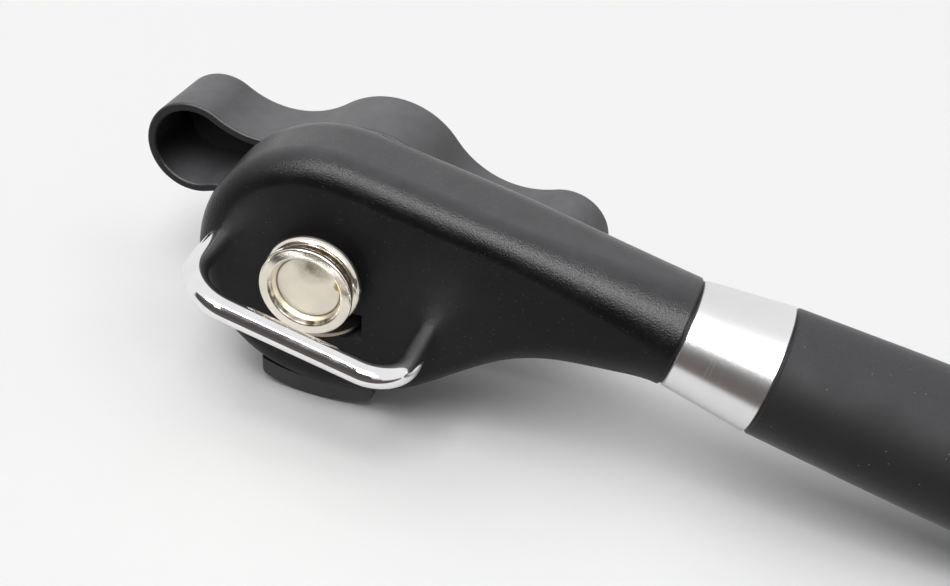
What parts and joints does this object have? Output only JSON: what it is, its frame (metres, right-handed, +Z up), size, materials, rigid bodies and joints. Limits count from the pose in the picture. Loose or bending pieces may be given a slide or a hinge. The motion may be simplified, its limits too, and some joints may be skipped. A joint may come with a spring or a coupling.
{
  "type": "manual can opener",
  "caption": "Hand can opener with a round head, driven feed spool, sideways cutter wheel, wire guide bail, hollow wing knob, metal ferrule and soft round grip.",
  "frame": {"origin": "bottom centre of the bounding box: the floor under the tool as it lies on its cutter guard and handle end", "axes": "+X from the head to the handle's end, +Y from the working face to the knob along the spool axis, +Z up"},
  "size_m": [0.2204, 0.0564, 0.0499],
  "materials": {
    "housing_black": "fine-grained semi-gloss black plastic",
    "cover_black": "fine-grained semi-gloss black plastic",
    "screw_steel": "dark zinc-plated steel",
    "bush_brass": "turned bronze",
    "guard_black": "semi-gloss black plastic",
    "cutter_steel": "ground and slightly tarnished steel",
    "axle_steel": "turned steel",
    "bail_chrome": "polished chrome wire",
    "spool_nickel": "warm nickel plate",
    "dish_satin": "satin nickel",
    "knob_black": "smooth matte dark grey-black plastic",
    "hub_steel": "machined steel",
    "ferrule_satin": "satin turned",
    "seal_black": "matte black",
    "core_black": "plain black plastic",
    "grip_rubber": "soft-touch matte black",
    "cap_rubber": "soft-touch matte black"
  },
  "bodies": {
    "frame": {"head_housing": "housing_black", "rear_cover": "cover_black", "cover_screws": "screw_steel", "spindle_bush": "bush_brass", "cutter_guard": "guard_black", "guard_screws": "screw_steel", "cutter_axle": "axle_steel", "cutter_spacers": "axle_steel", "guide_bail": "bail_chrome", "ferrule": "ferrule_satin", "ferrule_seals": "seal_black", "handle_core": "core_black", "grip_sleeve": "grip_rubber", "end_cap": "cap_rubber"},
    "knob": {"wing_knob": "knob_black", "knob_hub": "hub_steel", "hub_clip": "hub_steel"},
    "spool": {"feed_disc": "spool_nickel", "dish_disc": "dish_satin", "feed_ring": "spool_nickel", "feed_flange": "spool_nickel", "drive_spindle": "axle_steel"},
    "cutter": {"cutter_wheel": "cutter_steel"}
  },
  "joints": [
    {"name": "knob_turn", "type": "hinge", "parent": "frame", "child": "knob", "pos_m": [-0.06729, 0.02017, 0.02896], "axis": [0, 1, 0], "continuous": true},
    {"name": "spool_clamp", "type": "slide", "parent": "knob", "child": "spool", "axis": [0, 1, 0], "range_m": [0, 0.002]},
    {"name": "cutter_spin", "type": "hinge", "parent": "frame", "child": "cutter", "pos_m": [-0.06668, -0.00792, 0.02013], "axis": [0.0696, 0, -0.9976], "continuous": true}
  ]
}
